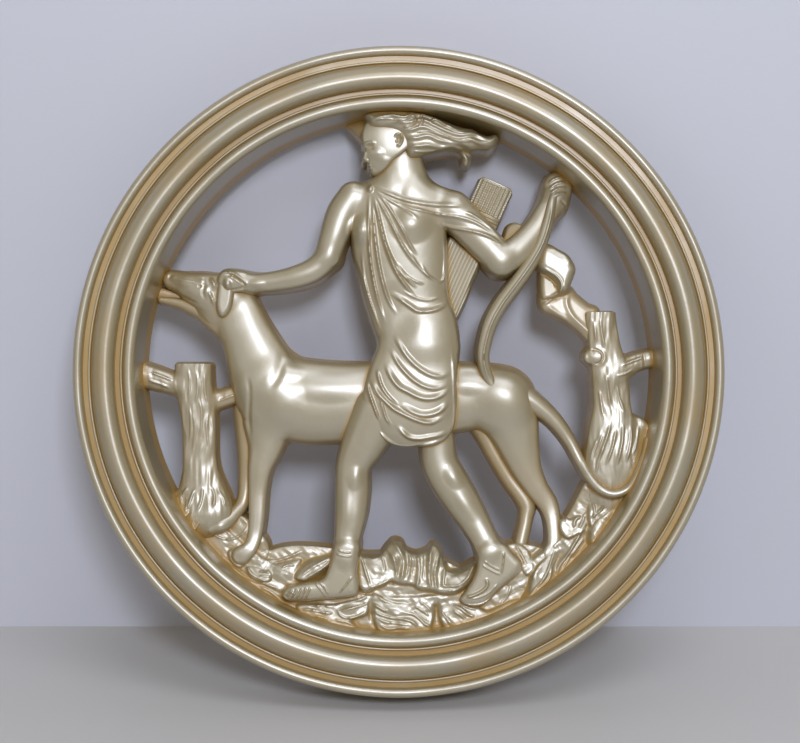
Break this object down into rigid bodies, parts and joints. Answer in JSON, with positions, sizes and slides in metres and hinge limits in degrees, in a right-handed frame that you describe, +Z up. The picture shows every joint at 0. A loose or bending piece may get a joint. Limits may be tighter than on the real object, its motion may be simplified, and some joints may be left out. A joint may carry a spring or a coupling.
{
  "type": "wall plaque",
  "caption": "Round pierced wall plaque in painted cast plaster: a huntress strides beside her hound between tree stumps, inside a moulded ring.",
  "frame": {"origin": "point on the ring's flat back, at its top, where the plaque rests against the wall above its nail recess", "axes": "+Z up, +Y out of the back into the wall, -Y towards the viewer, +X to the viewer's right"},
  "size_m": [0.335, 0.04, 0.335],
  "materials": {
    "painted_plaster": "pearl champagne paint rubbed with gold ochre in the recesses"
  },
  "bodies": {
    "root": {"plaque": "painted_plaster"}
  },
  "joints": []
}
